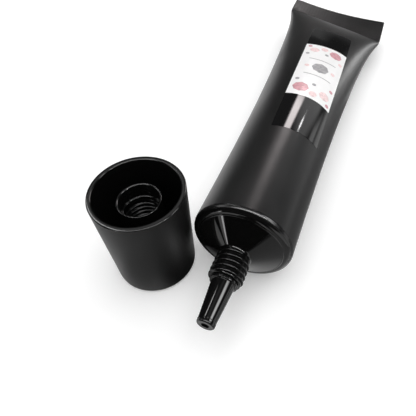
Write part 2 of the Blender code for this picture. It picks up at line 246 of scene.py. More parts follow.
def polished(name, colour, low, high):
    """A finish whose slight haze takes its roughness from low to high."""
    material, shader = new_finish(name)
    shader.inputs["Base Color"].default_value = (*colour, 1.0)
    shader.inputs["Specular IOR Level"].default_value = POLISHED_SHEEN
    vary(material, noise(material, HAZE_SCALE, detail=3), shader.inputs["Roughness"], low, high)
    roughen(material, shader, noise(material, RIPPLE_SCALE, detail=1), RIPPLE_STRENGTH, RIPPLE_DEPTH)
    return material


head_black = polished("head_polished_black", DEEP_BLACK, low=0.03, high=0.07)
nozzle_black = polished("nozzle_polished_black", (0.004, 0.004, 0.0042), low=0.04, high=0.08)
core_black = polished("cap_polished_black", (0.0035, 0.0035, 0.0035), low=0.06, high=0.12)
print("polished finishes:", head_black.name, nozzle_black.name, core_black.name)

# %% [markdown]
# The cap has worn the crests of the neck's thread a little dull. The sheen is painted: low in the grooves, a painted
# shade, as they mirror little but their own walls, and on the neck's crests higher than on the rest of the head, a
# painted highlight. An attribute that is 0 in a groove and highest on a crest sets both sheen and dullness. The
# crests of the thread deep in the cap's bore get a low sheen, a painted shade for the little light that reaches
# them.

# %% Threaded black
# painted shade: the sheen left in the grooves
GROOVE_SHADE_SHEEN = 0.06
GROOVE_ROUGHNESS = 0.1


# A finish whose sheen paints shade in the grooves and lets the crests shine
def threaded(name, crest_sheen, crest_roughness):
    material, shader = new_finish(name)
    shader.inputs["Base Color"].default_value = (*DEEP_BLACK, 1.0)
    crest = add_node(material, "ShaderNodeAttribute")
    crest.attribute_name = "crest"
    vary(material, crest.outputs["Fac"], shader.inputs["Specular IOR Level"], GROOVE_SHADE_SHEEN, crest_sheen)
    vary(material, crest.outputs["Fac"], shader.inputs["Roughness"], GROOVE_ROUGHNESS, crest_roughness)
    return material


# painted highlight on the neck's crests and painted shade in its grooves; the crests' roughness is wear
thread_black = threaded("thread_worn_shaded_black", crest_sheen=0.9, crest_roughness=0.28)
# painted shade: the crests deep in the bore keep a low sheen
bore_black = threaded("bore_thread_shaded_black", crest_sheen=0.1, crest_roughness=0.14)
print("thread finishes:", thread_black.name, bore_black.name)

# %% [markdown]
# The sleeve starts life as a round plastic tube. The filling machine presses its open end flat, and because the
# plastic bends but doesn't stretch, the girth stays the same from the round shoulder to the flat seal. So the
# section at any distance is an oval of known height whose width follows from the girth. The height falls along a
# smooth curve, and towards the seal the oval grows square.

# %% The sleeve's sections
TUBE_RADIUS = 9.5
GIRTH = 2 * np.pi * TUBE_RADIUS
FLARE_START_POWER = 2.75
FLARE_END_POWER = 0.54
FLARE_SQUARENESS = 3.3
FLARE_SQUARING = 6.0
SEAL_HALF = CRIMP_THICKNESS / 2
SEAL_SQUARENESS = 8.0
SEAL_SQUARING = 3.0
CLOSING = SLEEVE_LENGTH - CRIMP_LENGTH
SAMPLES = np.linspace(0, 2 * np.pi, 1441)
HALVINGS = 36


def ease(value):
    """A smooth step from 0 to 1."""
    value = np.clip(value, 0.0, 1.0)
    return value * value * (3 - 2 * value)


def closed_share(station):
    """How far a station is on the way from the shoulder, 0, to where the sleeve closes, 1."""
    return min(max(station / CLOSING, 0.0), 1.0)


def half_height(station):
    fall = (1 - closed_share(station) ** FLARE_START_POWER) ** FLARE_END_POWER
    return SEAL_HALF + (TUBE_RADIUS - SEAL_HALF) * fall


def squareness(station):
    """The oval's power: 2 is an ellipse, and more is squarer."""
    flare = 2 + (FLARE_SQUARENESS - 2) * closed_share(station) ** FLARE_SQUARING
    return flare + (SEAL_SQUARENESS - flare) * ease((station - CLOSING + SEAL_SQUARING / 2) / SEAL_SQUARING)


def oval(half_width, half_depth, power):
    across, up = np.cos(SAMPLES), np.sin(SAMPLES)
    x = half_width * np.sign(across) * np.abs(across) ** (2 / power)
    y = half_depth * np.sign(up) * np.abs(up) ** (2 / power)
    return x, y, np.concatenate([[0], np.cumsum(np.hypot(np.diff(x), np.diff(y)))])


def section(station):
    """The oval at a station, with the distance round it at each of its points."""
    power = squareness(station)
    low, high = 0.0, GIRTH / 2
    for _ in range(HALVINGS):
        middle = (low + high) / 2
        if oval(middle, half_height(station), power)[2][-1] > GIRTH:
            high = middle
        else:
            low = middle
    return oval(low, half_height(station), power)


print("seal is", round(2 * section(SLEEVE_LENGTH)[0].max(), 1), "mm wide")

# %% [markdown]
# A point of the skin is named by its station, the distance from the shoulder, and its arc, the distance round the
# girth from the middle of the upper side. The label has to lie on the same skin, so the sections are worked out once
# into a table that both can read. Plastic film doesn't crease sharply, so the table is smoothed along the tube near
# the seal. The seal has relaxed too: its corners stand higher than its middle, and it sits a little to one side.

# %% From station and arc to a point
TAIL_BOW = 0.9
BOW_START = 66.0
BOW_SINK = 0.4
TAIL_SHIFT = -0.35
SHIFT_START = 50.0
CREASE_SOFTNESS = 1.1
SOFT_START = 70.0
SOFT_GROWTH = 8.0
SOFT_END = 4.0
LEAST_REACH = 0.01
COARSE_STEP, FINE_STEP = 0.5, 0.2
ARCS = np.linspace(-GIRTH / 2, GIRTH / 2, 1201)
STATIONS = np.concatenate([np.arange(0.0, SOFT_START, COARSE_STEP),
                           np.arange(SOFT_START, SLEEVE_LENGTH + FINE_STEP / 2, FINE_STEP)])


def skin_row(station):
    x, y, lengths = section(station)
    spots = (lengths[-1] / 4 - ARCS * lengths[-1] / GIRTH) % lengths[-1]
    across = np.interp(spots, lengths, x)
    bow = TAIL_BOW * ease((station - BOW_START) / (SLEEVE_LENGTH - BOW_START))
    shift = TAIL_SHIFT * max((station - SHIFT_START) / (SLEEVE_LENGTH - SHIFT_START), 0.0) ** 2
    return across + shift, np.interp(spots, lengths, y) + bow * ((across / x.max()) ** 2 - BOW_SINK)


def softened(table):
    """Averages neighbouring sections, more towards the seal and not at all at its very end."""
    grown = ease((STATIONS - SOFT_START) / SOFT_GROWTH)
    reach = CREASE_SOFTNESS * grown * ease((SLEEVE_LENGTH - STATIONS) / SOFT_END) + LEAST_REACH
    apart = (STATIONS[None, :] - STATIONS[:, None]) / reach[:, None]
    weights = np.exp(-0.5 * apart ** 2) * np.gradient(STATIONS)[None, :]
    weights /= weights.sum(axis=1, keepdims=True)
    return np.einsum("ij,jkl->ikl", weights, table)


skin = softened(np.array([skin_row(station) for station in STATIONS]))


def along_girth(values):
    """How values change round the girth, whose two ends are one line on the belly."""
    change = np.roll(values[:-1], -1) - np.roll(values[:-1], 1)
    return np.append(change, change[0])


def on_sleeve(station, arcs, lift=0.0):
    """Points across and up at a station, moved off the skin by lift."""
    row = np.interp(station, STATIONS, np.arange(len(STATIONS)))
    low = min(int(row), len(STATIONS) - 2)
    across, up = skin[low] + (row - low) * (skin[low + 1] - skin[low])
    run, rise = along_girth(across), along_girth(up)
    length = np.hypot(run, rise)
    moved_across, moved_up = across - lift * rise / length, up + lift * run / length
    return np.interp(arcs, ARCS, moved_across), np.interp(arcs, ARCS, moved_up)


SEAL_SKEW = 0.2
SKEW_START = 58.0


def skewed(station, across):
    """Height along the tube's axis; the jaws closed the tail a little askew, so its right side starts sooner."""
    grown = ease((station - SKEW_START) / (CLOSING - SKEW_START))
    grown = grown * ease((SLEEVE_LENGTH - station) / CRIMP_LENGTH)
    return SEAL_SKEW * grown * across - station


print("tail corner in mm:", [round(float(value), 2) for value in on_sleeve(SLEEVE_LENGTH, GIRTH / 4)])

# %% [markdown]
# The sleeve's mesh is a flat grid that is rolled up, as a sheet would be: columns go round the girth and rows along
# the tube. One sheet makes both walls: its rows start inside, near the seal, run along the inner wall to the
# shoulder, roll over the head's rounded edge there and come back along the outside to the lip of the seal. A row is
# a station and how far it lies inside the skin. Rows crowd where the shape turns, and the first and last row are
# pinched flat, so that their halves weld and close the sheet.

# %% The sleeve's rows
COLUMNS = 640
SLEEVE_WALL = 0.42
INNER_END = 82.0
INNER_ROWS = 16
EDGE_ROUND = 1.3
EDGE_FOOT = -0.15
EDGE_SWEEP = 37.0
EDGE_ROWS = 9
EDGE_LIP = [(-0.4, 0.42), (-0.55, 0.41), (-0.62, 0.39), (-0.655, 0.35), (-0.655, 0.3)]
FLARE_ROWS = 52
CROWDING = 1.45
SEAL_ROWS = 20
SEAL_LIP = [(0.3, 0.0), (0.16, 0.04), (0.06, 0.12), (0.0, 0.28)]

rows = [(INNER_END * (1 - i / INNER_ROWS), SLEEVE_WALL) for i in range(INNER_ROWS + 1)]
rows += EDGE_LIP
for sweep in np.radians(np.linspace(EDGE_SWEEP, 0.0, EDGE_ROWS)):
    rows.append((-EDGE_FOOT - EDGE_ROUND * math.sin(sweep), EDGE_ROUND * (1 - math.cos(sweep))))
rows += [(CLOSING * (1 - (1 - i / FLARE_ROWS) ** CROWDING), 0.0) for i in range(FLARE_ROWS + 1)]
lip_start = CRIMP_LENGTH - SEAL_LIP[0][0]
rows += [(CLOSING + lip_start * i / (SEAL_ROWS + 1), 0.0) for i in range(1, SEAL_ROWS + 1)]
rows += [(SLEEVE_LENGTH - back, inset) for back, inset in SEAL_LIP]
print("sleeve rows:", len(rows))

# %% [markdown]
# The hot jaws that closed the tail left fine ribs across the seal and pressed it in by less than a tenth of a
# millimetre. Their mark fades out where the jaws began, at the lip and at both sides.

# %% Roll the sleeve up
IRONED_LENGTH = 0.35
RIB_PITCH = 0.95
RIB_HEIGHT = 0.012
JAW_DEPTH = 0.06
JAW_FADE = 0.8
LIP_FADE = 0.6
SIDE_FADE = 1.2


def sleeve_row(station, inset):
    """One row of points round the sleeve, ribbed where the jaws held it."""
    arcs = np.linspace(-GIRTH / 2, GIRTH / 2, COLUMNS + 1)
    across, up = on_sleeve(station, arcs, -inset)
    in_jaws = ease((station - CLOSING) / JAW_FADE) * ease((SLEEVE_LENGTH - station) / LIP_FADE)
    on_face = ease((np.abs(across).max() - np.abs(across)) / SIDE_FADE)
    ribs = RIB_HEIGHT * np.cos(2 * np.pi * across / RIB_PITCH) - JAW_DEPTH
    side = np.where(np.abs(arcs) <= GIRTH / 4, 1.0, -1.0)
    return across, up + side * ribs * on_face * in_jaws, skewed(station, across)


def pinched(points):
    """The row's middle line: each point meets the one above or below it."""
    half = COLUMNS // 2
    facing = np.concatenate([np.arange(half, -1, -1), np.arange(COLUMNS - 1, half - 1, -1)])
    return [(values + values[facing]) / 2 for values in points]


def roll_up(lines):
    """A sheet with these lines of points as its rows; its long edges meet on the belly."""
    bm = bmesh.new()
    bmesh.ops.create_grid(bm, x_segments=COLUMNS, y_segments=len(lines) - 1, size=1.0)
    bm.verts.ensure_lookup_table()
    for row, line in enumerate(lines):
        for column, point in enumerate(zip(*line)):
            bm.verts[row * (COLUMNS + 1) + column].co = point
    bmesh.ops.remove_doubles(bm, verts=bm.verts, dist=WELD)
    return bm


lines = [sleeve_row(station, inset) for station, inset in rows]
bm = roll_up([pinched(lines[0])] + lines + [pinched(lines[-1])])
bmesh.ops.recalc_face_normals(bm, faces=bm.faces)
print("open edges on the sleeve:", sum(edge.is_boundary for edge in bm.edges))
for face in bm.faces:
    face.material_index = int(face.calc_center_median().z > -IRONED_LENGTH)
hand_over("sleeve_skin", bm, TUBE, [sleeve_black, edge_black], "tube", "tube_sleeve")

# %% [markdown]
# The label is a thin printed film on the upper side: black at both ends, with a white panel between. It is another
# grid, drawn flat with its corners clipped round by a bevel of their vertices, cut at the panel's ends, turned by
# the degree or two that it was stuck on askew, and laid on the skin's table a hair above it. Its rim is marked sharp,
# so that the gloss doesn't bend over the film's thin edge.

# %% Label film
LABEL_MIDDLE = (1.6, 47.15)
LABEL_HALF = 5.45
LABEL_HALF_LENGTH = 24.5
LABEL_CORNER = 0.5
LABEL_ASKEW = math.radians(1.65)
PANEL = (-12.2, 13.1)
FILM_LIFT = 0.012
FILM_THICKNESS = 0.02
FILM_COLUMNS = 44
FILM_ROWS = 100
COAT_WEIGHT = 0.6
COAT_ROUGHNESS = 0.1
INK_ROUGHNESS = (0.4, 0.55)
PAPER_SCALE = 700
PAPER_DARK, PAPER_LIGHT = (0.86, 0.855, 0.855), (0.92, 0.915, 0.915)

label_film = polished("label_film_black", (0.006, 0.006, 0.0062), low=0.06, high=0.1)


def printed(name):
    """Ink under a clear gloss; the caller gives it its colour."""
    material, shader = new_finish(name)
    shader.inputs["Coat Weight"].default_value = COAT_WEIGHT
    shader.inputs["Coat Roughness"].default_value = COAT_ROUGHNESS
    vary(material, noise(material, HAZE_SCALE, detail=2), shader.inputs["Roughness"], *INK_ROUGHNESS)
    return material, shader


panel_white, panel_shader = printed("label_panel_white")
paper = noise(panel_white, PAPER_SCALE, detail=4)
shade(panel_white, paper, panel_shader.inputs["Base Color"], PAPER_DARK, PAPER_LIGHT)


def lay_on_sleeve(bm, lift):
    """Takes a flat drawing of the label, X to its right and Y towards the tail, and lays it on the skin."""
    bmesh.ops.rotate(bm, verts=bm.verts, cent=(0, 0, 0), matrix=Matrix.Rotation(LABEL_ASKEW, 3, "Z"))
    bmesh.ops.translate(bm, verts=bm.verts, vec=(*LABEL_MIDDLE, 0.0))
    for vert in bm.verts:
        arc, station, _ = vert.co
        across, up = on_sleeve(station, arc, lift)
        vert.co = (float(across), float(up), float(skewed(station, across)))
    bmesh.ops.recalc_face_normals(bm, faces=bm.faces)
    if sum(face.normal.y for face in bm.faces) < 0:
        bmesh.ops.reverse_faces(bm, faces=bm.faces)


def thicken(sheet, thickness):
    """Gives a sheet its thickness, outwards."""
    film = sheet.modifiers.new("film", "SOLIDIFY")
    film.thickness = thickness * MM
    film.offset = 1.0


bm = bmesh.new()
bmesh.ops.create_grid(bm, x_segments=FILM_COLUMNS, y_segments=FILM_ROWS, size=1.0)
bmesh.ops.scale(bm, verts=bm.verts, vec=(LABEL_HALF, LABEL_HALF_LENGTH, 1.0))
for panel_edge in PANEL:
    bmesh.ops.bisect_plane(bm, geom=bm.verts[:] + bm.edges[:] + bm.faces[:], dist=WELD,
                           plane_co=(0.0, panel_edge, 0.0), plane_no=(0.0, 1.0, 0.0))
corners = [vert for vert in bm.verts if len(vert.link_edges) == 2]
bmesh.ops.bevel(bm, geom=corners, offset=LABEL_CORNER, offset_type="OFFSET", affect="VERTICES",
                segments=ROUND_SEGMENTS, profile=0.5, material=-1)
for face in bm.faces:
    face.material_index = int(PANEL[0] < face.calc_center_median().y < PANEL[1])
bm.edges.index_update()
film_rim = [edge.index for edge in bm.edges if edge.is_boundary]
lay_on_sleeve(bm, FILM_LIFT)
label = hand_over("label_sheet", bm, TUBE, [label_film, panel_white], "tube", "front_label")
for number in film_rim:
    label.data.edges[number].use_edge_sharp = True
thicken(label, FILM_THICKNESS)

# %% [markdown]
# The print on the panel shows cut stones, as seen from above. A round brilliant drawn flat is an octagon, a smaller
# octagon turned by half a step inside it, and the triangles between them. So a bridge joins two circles of eight
# sides, and each facet carries its own tone of ink in an attribute that the material reads.

# %% Stone drawing
STONE_SIDES = 8
TABLE_SHARE = 0.52
FACET_TONES = (1.04, 0.86, 0.97, 0.8, 1.08, 0.9, 0.94)
PRINT_CUTS = 3


def draw_stone(bm, ink_layer, place, radius, ink):
    """Adds one flat brilliant and inks its facets; returns how many it has."""
    spot = Matrix.Translation((*place, 0.0))
    outer = bmesh.ops.create_circle(bm, segments=STONE_SIDES, radius=radius, matrix=spot)["verts"]
    inner = bmesh.ops.create_circle(bm, segments=STONE_SIDES, radius=radius * TABLE_SHARE, matrix=spot)["verts"]
    half_step = Matrix.Rotation(math.pi / STONE_SIDES, 3, "Z")
    bmesh.ops.rotate(bm, verts=inner, cent=(*place, 0.0), matrix=half_step)
    rims = {edge for vert in outer + inner for edge in vert.link_edges}
    crown = bmesh.ops.bridge_loops(bm, edges=list(rims))["faces"]
    facets = bmesh.ops.triangulate(bm, faces=crown)["faces"]
    table_face = bmesh.ops.contextual_create(bm, geom=inner)["faces"]
    facets += bmesh.ops.poke(bm, faces=table_face)["faces"]
    for number, facet in enumerate(facets):
        tone = FACET_TONES[number % len(FACET_TONES)]
        for corner in facet.loops:
            corner[ink_layer] = (*[min(1.0, tone * part) for part in ink], 1.0)
    return len(facets)


# %% [markdown]
# The stones lie loosely along both ends of the panel, with one large one in the middle between two thin rules. Roses,
# blushes and silvers are the colours of the craft stones that such a glue is for.

# %% Printed stones
PRINT_GAP = 0.012
PRINT_LIFT = FILM_LIFT + FILM_THICKNESS + PRINT_GAP
PRINT_THICKNESS = 0.01
ROSE, BLUSH, SILVER = (0.66, 0.32, 0.36), (0.9, 0.68, 0.68), (0.36, 0.355, 0.365)
STONES = [
    ((2.6, 10.2), 1.7, ROSE), ((-0.5, 11.3), 0.95, BLUSH), ((-2.9, 10.0), 1.25, BLUSH), ((-4.3, 11.9), 0.55, ROSE),
    ((4.4, 7.2), 0.6, BLUSH), ((-4.3, 7.6), 0.5, SILVER), ((0.4, 8.6), 0.5, SILVER),
    ((0.0, 1.2), 2.1, SILVER), ((-3.3, 1.2), 0.6, BLUSH), ((3.3, 1.2), 0.6, BLUSH),
    ((-2.8, -8.9), 1.85, ROSE), ((0.3, -10.3), 1.0, BLUSH), ((3.0, -8.8), 1.4, BLUSH), ((4.4, -11.0), 0.55, ROSE),
    ((-0.1, -6.6), 0.5, SILVER), ((4.3, -5.5), 0.55, ROSE), ((-4.2, -5.6), 0.5, SILVER),
]
RULES = (-2.6, 5.0)
RULE_HALF = (3.4, 0.12)
RULE_SEGMENTS = 24

bm = bmesh.new()
ink_layer = bm.loops.layers.float_color.new("ink")
facet_count = sum(draw_stone(bm, ink_layer, place, radius, ink) for place, radius, ink in STONES)
bmesh.ops.subdivide_edges(bm, edges=bm.edges, cuts=PRINT_CUTS, use_grid_fill=True)
for height in RULES:
    spot = Matrix.Translation((0.0, height, 0.0)) @ Matrix.Diagonal((*RULE_HALF, 1.0, 1.0))
    rule = bmesh.ops.create_grid(bm, x_segments=RULE_SEGMENTS, y_segments=1, size=1.0, matrix=spot)["verts"]
    for corner in {corner for vert in rule for corner in vert.link_loops}:
        corner[ink_layer] = (*SILVER, 1.0)
lay_on_sleeve(bm, PRINT_LIFT)
print("printed facets:", facet_count)

stone_ink, ink_shader = printed("label_stone_ink")
ink = add_node(stone_ink, "ShaderNodeVertexColor")
ink.layer_name = "ink"
wire(stone_ink, ink.outputs["Color"], ink_shader.inputs["Base Color"])
print_layer = hand_over("label_stones", bm, TUBE, [stone_ink], "tube")
thicken(print_layer, PRINT_THICKNESS)

# %% [markdown]
# A screw thread is a ridge that climbs one pitch per turn. It could be swept along a helix and joined to the neck,
# but here the neck's own fine rows are pushed out instead, by a height that depends on the angle and the distance
# along the axis. That keeps one clean skin, and lets the ridge fade in and out as a moulded thread does. The ridge
# has a rounded crest, straight flanks and a flat groove beside it. How far each vertex rose is kept for the finish.

# %% Push a thread out of a round wall
THREAD_PITCH = 1.05
CREST_ROUND = 0.2
THREAD_FOOT = 0.3
FOOT_ROUND = 0.003
FADE_TURNS = 0.3


def push_thread(bm, wall_radius, height, start, turns):
    """Pushes a ridge out of a wall, or inwards if height is negative; the rounded crest reaches about half of it."""
    crest_layer = bm.verts.layers.float.new("crest")
    for vert in bm.verts:
        radius = math.hypot(vert.co.x, vert.co.y)
        if abs(radius - wall_radius) > WELD:
            continue
        spin = math.atan2(vert.co.y, vert.co.x) / (2 * math.pi)
        climb = (vert.co.z - start) / THREAD_PITCH - spin
        ridge_turn = round(climb) + spin
        from_ridge = abs(climb - round(climb)) * THREAD_PITCH
        slope = (math.hypot(THREAD_FOOT, CREST_ROUND) - math.hypot(from_ridge, CREST_ROUND)) / THREAD_FOOT
        rise = (slope + math.hypot(slope, FOOT_ROUND)) / 2
        fade = ease(min(ridge_turn, turns - ridge_turn) / FADE_TURNS)
        vert[crest_layer] = float(rise * fade)
        scale = 1 + height * vert[crest_layer] / radius
        vert.co.x *= scale
        vert.co.y *= scale


WALL_MARGIN = 0.25


def finish_thread(bm, inner, outer, low, high):
    """Gives the second finish to the faces between two radii and two heights."""
    for face in bm.faces:
        middle = face.calc_center_median()
        on_wall = inner < math.hypot(middle.x, middle.y) < outer
        face.material_index = int(on_wall and low + WALL_MARGIN < middle.z < high - WALL_MARGIN)


# %% [markdown]
# The head is one polished moulding: a skirt that is welded inside the sleeve, a rim that carries on the rounding of
# the sleeve's edge, a thin bead, the cone and the threaded neck.

# %% Shoulder and neck
EDGE_GAP = 0.01
RIM_TOP_SWEEP = 88.0
RIM_CLEARANCE = 3.0
RIM_POINTS = 12
TUCK_INSET = 0.48
TUCK_TOP = 0.5
TUCK_FOOT = 0.25
SEAT_RADIUS = 8.15
SEAT_HEIGHT = 1.15
BEAD_WIDTH = 0.16
BEAD_HEIGHT = 0.05
SKIRT_RADIUS = 8.7
SKIRT_INNER = 7.9
SKIRT_DEPTH = 4.0
NECK_BASE = 3.73
NECK_END = 9.2
NECK_RADIUS = 2.86
BORE_RADIUS = 1.82
HEAD_WALL = 1.2
THREAD_HEIGHT = 0.53
THREAD_START = NECK_BASE + 0.5
THREAD_TURNS = 4.7
NECK_CUTS = 480
cone_slope = (NECK_BASE - SEAT_HEIGHT) / (SEAT_RADIUS - NECK_RADIUS)
bead_foot = 1.6 * BEAD_WIDTH

rim = []
reach = EDGE_ROUND - EDGE_GAP
for sweep in np.radians(np.linspace(RIM_TOP_SWEEP, EDGE_SWEEP + RIM_CLEARANCE, RIM_POINTS)):
    rim.append((TUBE_RADIUS - EDGE_ROUND + reach * math.cos(sweep), EDGE_FOOT + reach * math.sin(sweep), 0.0))

head_profile = [
    (BORE_RADIUS, NECK_END, 0.1),
    (NECK_RADIUS, NECK_END, 0.18),
    (NECK_RADIUS, NECK_BASE, 0.3),
    (SEAT_RADIUS - bead_foot, SEAT_HEIGHT + bead_foot * cone_slope, 0.04),
    (SEAT_RADIUS - BEAD_WIDTH, SEAT_HEIGHT + BEAD_WIDTH * cone_slope + BEAD_HEIGHT, 0.05),
    (SEAT_RADIUS - BEAD_WIDTH / 4, SEAT_HEIGHT + BEAD_HEIGHT, 0.05),
    (SEAT_RADIUS, SEAT_HEIGHT, 0.03),
    *rim,
    (TUBE_RADIUS - TUCK_INSET, TUCK_TOP, 0.0),
    (SKIRT_RADIUS, TUCK_FOOT, 0.0),
    (SKIRT_RADIUS, -SKIRT_DEPTH, 0.1),
    (SKIRT_INNER, -SKIRT_DEPTH, 0.1),
    (SKIRT_INNER, SEAT_HEIGHT + cone_slope * (SEAT_RADIUS - SKIRT_INNER) - HEAD_WALL, 0.2),
    (BORE_RADIUS, SEAT_HEIGHT + cone_slope * (SEAT_RADIUS - BORE_RADIUS) - HEAD_WALL, 0.2),
]
bm = lathe(head_profile, True, NECK_RADIUS, NECK_CUTS)
push_thread(bm, NECK_RADIUS, THREAD_HEIGHT, THREAD_START, THREAD_TURNS)
finish_thread(bm, BORE_RADIUS + WALL_MARGIN, TUBE_RADIUS, NECK_BASE, NECK_END)
head_finishes = [head_black, thread_black]
hand_over("shoulder_and_neck", bm, TUBE, head_finishes, "tube", "shoulder_neck")

# %% [markdown]
# The nozzle is a separate tip that is pushed into the neck: a plug, a thin flange that stops it, a long taper and a
# rounded end ring with the orifice.

# %% Nozzle
FLANGE_RADIUS = 2.5
FLANGE_FOOT = 9.27
FLANGE_TOP = 9.8
NOZZLE_BASE_RADIUS = 2.13
NOZZLE_TIP_RADIUS = 1.55
NOZZLE_TIP = 17.7
RING_HEIGHT = 0.85
RING_STEP = 0.06
RING_BEVEL_HEIGHT = 0.08
RING_BEVEL_INSET = 0.05
ORIFICE_RADIUS = 0.65
CHANNEL_RADIUS = 0.9
PLUG_RADIUS = 1.52
PLUG_END = 5.0
CHANNEL_DEPTH = 2.4
ORIFICE_DEPTH = 1.2
ring_foot = NOZZLE_TIP - RING_HEIGHT

nozzle_profile = [
    (ORIFICE_RADIUS, NOZZLE_TIP, 0.08),
    (NOZZLE_TIP_RADIUS, NOZZLE_TIP, 0.28),
    (NOZZLE_TIP_RADIUS + RING_STEP, ring_foot + RING_BEVEL_HEIGHT, 0.06),
    (NOZZLE_TIP_RADIUS + RING_STEP - RING_BEVEL_INSET, ring_foot, 0.03),
    (NOZZLE_BASE_RADIUS, FLANGE_TOP, 0.08),
    (FLANGE_RADIUS, FLANGE_TOP, 0.1),
    (FLANGE_RADIUS, FLANGE_FOOT, 0.1),
    (PLUG_RADIUS, FLANGE_FOOT, 0.05),
    (PLUG_RADIUS, PLUG_END, 0.1),
    (CHANNEL_RADIUS, PLUG_END, 0.1),
    (CHANNEL_RADIUS, NOZZLE_TIP - CHANNEL_DEPTH, 0.1),
    (ORIFICE_RADIUS, NOZZLE_TIP - ORIFICE_DEPTH, 0.05),
]
bm = lathe(nozzle_profile, True)
hand_over("nozzle_tip", bm, TUBE, [nozzle_black], "tube", "nozzle")

# %% [markdown]
# The cap is a cup that tapers to its crown. Its wall is soft-touch black outside and polished inside and on the rim,
# where the mould's core was smooth, so its faces take one of two finishes by where they lie.

# %% Cap shell
CAP_HEIGHT = 20.85
RIM_RADIUS = 8.7
CAP_BASE_RADIUS = 8.05
CAP_WALL = 0.95
CAP_CROWN = 1.2
RIM_INNER = 7.78
RIM_GLOSS = 0.3
GATE_RADIUS = 0.6
GATE_FLARE = 0.1
GATE_DEPTH = 0.15


def cap_radius(height):
    return CAP_BASE_RADIUS + (RIM_RADIUS - CAP_BASE_RADIUS) * height / CAP_HEIGHT


shell_profile = [
    (0.0, CAP_CROWN, 0.0),
    (cap_radius(CAP_CROWN) - CAP_WALL, CAP_CROWN, 0.3),
    (RIM_INNER, CAP_HEIGHT, 0.26),
    (RIM_RADIUS, CAP_HEIGHT, 0.2),
    (CAP_BASE_RADIUS, 0.0, 0.8),
    (GATE_RADIUS + GATE_FLARE, 0.0, 0.05),
    (GATE_RADIUS, GATE_DEPTH, 0.05),
    (0.0, GATE_DEPTH, 0.0),
]
bm = lathe(shell_profile, False)
for face in bm.faces:
    middle = face.calc_center_median()
    outside = face.normal.dot(Vector((middle.x, middle.y, 0.0))) > 0 or middle.z < CAP_CROWN / 2
    face.material_index = 0 if outside and middle.z < CAP_HEIGHT - RIM_GLOSS else 1
hand_over("cap_cup", bm, CAP, [cap_black, core_black], "cap", "cap_shell")

# %% [markdown]
# Inside the cup stands the collar that screws onto the neck. Its mouth is wider, to find the neck easily, and its
# thread is the neck's thread turned inwards, a little higher so that both overlap.

# %% Cap core
CORE_TOP = 2.5
CORE_BOTTOM = 1.26
CORE_RADIUS = 7.08
BORE_WALL = 3.4
MOUTH_WALL = 3.65
COLLAR_RADIUS = 4.08
COLLAR_TOP = 18.556
MOUTH_BOTTOM = 15.556
COLLAR_THREAD = 0.66
COLLAR_THREAD_START = MOUTH_BOTTOM - 6.4
COLLAR_TURNS = 5.5
BORE_CUTS = 360

core_profile = [
    (0.0, CORE_TOP, 0.0),
    (BORE_WALL, CORE_TOP, 0.2),
    (BORE_WALL, MOUTH_BOTTOM, 0.08),
    (MOUTH_WALL, MOUTH_BOTTOM, 0.08),
    (MOUTH_WALL, COLLAR_TOP, 0.29),
    (COLLAR_RADIUS, COLLAR_TOP, 0.12),
    (COLLAR_RADIUS, CORE_TOP, 0.4),
    (CORE_RADIUS, CORE_TOP, 0.15),
    (CORE_RADIUS, CORE_BOTTOM, 0.15),
    (0.0, CORE_BOTTOM, 0.0),
]
bm = lathe(core_profile, False, BORE_WALL, BORE_CUTS)
push_thread(bm, BORE_WALL, -COLLAR_THREAD, COLLAR_THREAD_START, COLLAR_TURNS)
finish_thread(bm, 0.0, BORE_WALL + WELD, CORE_TOP, MOUTH_BOTTOM)
hand_over("cap_collar", bm, CAP, [core_black, bore_black], "cap", "cap_core")

# %% [markdown]
# At the bottom of the collar lies a disc of closed-cell foam, which the nozzle's tip presses into when the cap is on.
# It is crowned, its edge is soft, and a ring where the tip sits is pressed in. Small cells show as a fine bump.

# %% Seal pad
PAD_RADIUS = 3.1
PAD_BOTTOM = 2.56
PAD_TOP = 4.0
DENT_RADIUS = 1.45
DENT_WIDTH = 0.35
DENT_DEPTH = 0.14
PAD_EDGE = 0.3
FOAM_DARK, FOAM_LIGHT = (0.6, 0.59, 0.57), (0.72, 0.71, 0.69)
FOAM_ROUGHNESS = (0.7, 0.9)
FOAM_TONE_SCALE = 900
FOAM_HAZE_SCALE = 2600
CELL_SCALE = 3800.0
CELL_STRENGTH = 0.5
CELL_DEPTH = 0.00005

foam, foam_shader = new_finish("seal_foam_white")
shade(foam, noise(foam, FOAM_TONE_SCALE, detail=3), foam_shader.inputs["Base Color"], FOAM_DARK, FOAM_LIGHT)
vary(foam, noise(foam, FOAM_HAZE_SCALE, detail=2), foam_shader.inputs["Roughness"], *FOAM_ROUGHNESS)
cells = add_node(foam, "ShaderNodeTexVoronoi", {"Scale": CELL_SCALE})
cell_place = add_node(foam, "ShaderNodeTexCoord")
wire(foam, cell_place.outputs["Object"], cells.inputs["Vector"])
roughen(foam, foam_shader, cells.outputs["Distance"], CELL_STRENGTH, CELL_DEPTH)

pad_profile = [
    (0.0, PAD_TOP, 0.0),
    (DENT_RADIUS - DENT_WIDTH, PAD_TOP - 0.01, 0.12),
    (DENT_RADIUS, PAD_TOP - DENT_DEPTH, 0.12),
    (DENT_RADIUS + DENT_WIDTH, PAD_TOP - 0.02, 0.12),
    (PAD_RADIUS - PAD_EDGE, PAD_TOP - 0.06, 0.2),
    (PAD_RADIUS, PAD_TOP - PAD_EDGE, 0.2),
    (PAD_RADIUS, PAD_BOTTOM, 0.2),
    (0.0, PAD_BOTTOM, 0.0),
]
bm = lathe(pad_profile, False)
pad = hand_over("seal_disc", bm, CAP, [foam], "cap_lifter", "seal_pad")

# %% [markdown]
# The glue itself is a clear, slightly yellow gel that fills the sleeve from the shoulder to the seal. It is rolled up
# like the sleeve, a little inside its wall, so it follows every bend of it. Light passes through it, and small
# bubbles make its surface uneven.

